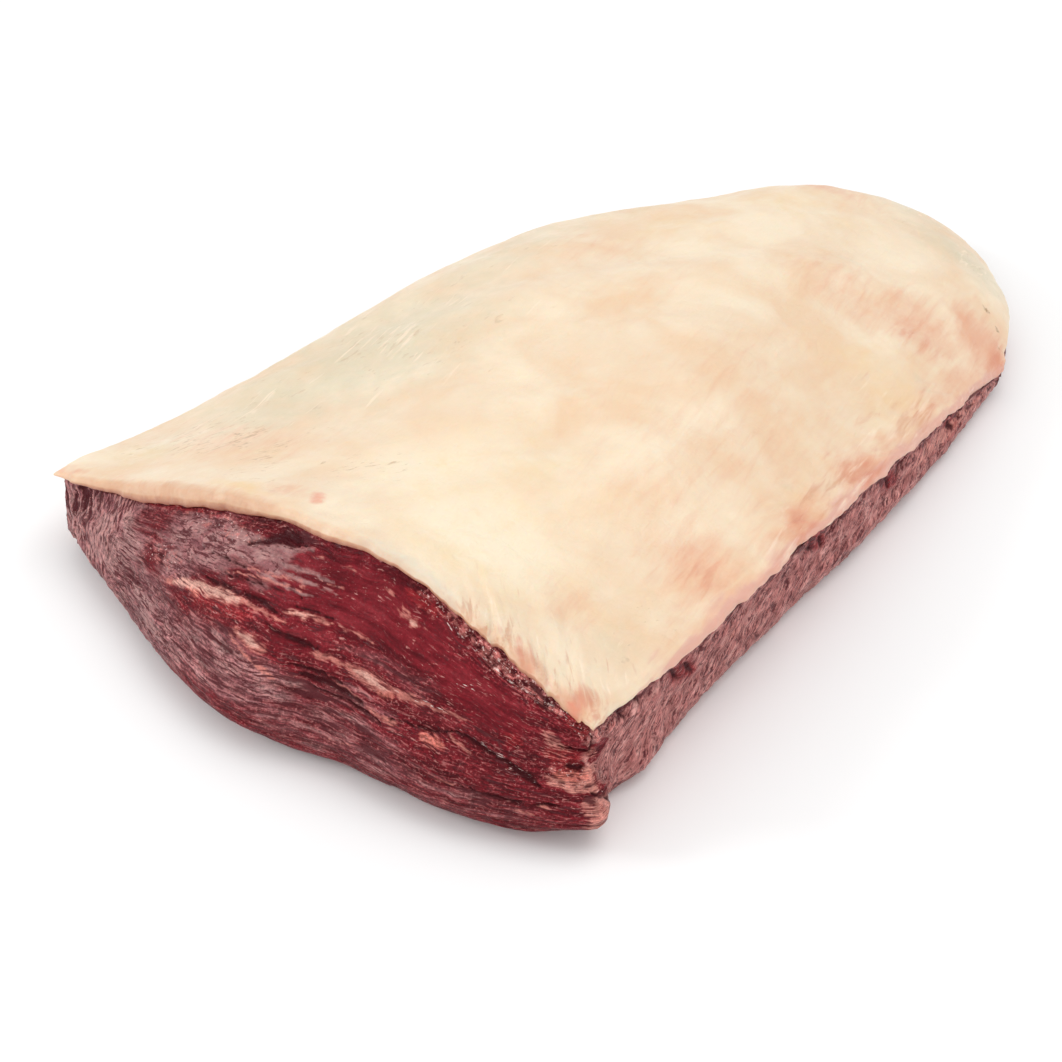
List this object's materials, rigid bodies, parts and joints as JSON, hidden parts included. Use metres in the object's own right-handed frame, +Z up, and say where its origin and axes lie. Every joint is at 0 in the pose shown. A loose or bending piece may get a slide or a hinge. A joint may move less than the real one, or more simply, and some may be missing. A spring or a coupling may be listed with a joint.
{
  "type": "raw picanha",
  "caption": "Whole raw rump cap of beef: a long tapering slab of lean with a wide cut face and a domed fat cap, lying flat on its lean side.",
  "frame": {"origin": "middle of the box around the part, at the height of the surface it lies on", "axes": "+Z up through the fat, +Y along the length from the wide cut face to the tapered tip, +X to the right as seen facing the cut face"},
  "size_m": [0.1988, 0.315, 0.0538],
  "materials": {
    "lean_meat": "moist raw beef, crimson on the cut face and mauve-brown on the sides, with cream marbling",
    "fat_cap": "cream beef fat under a thin satin membrane, with pink blotches"
  },
  "bodies": {
    "root": {"lean_meat": "lean_meat", "fat_cap": "fat_cap"}
  },
  "joints": []
}
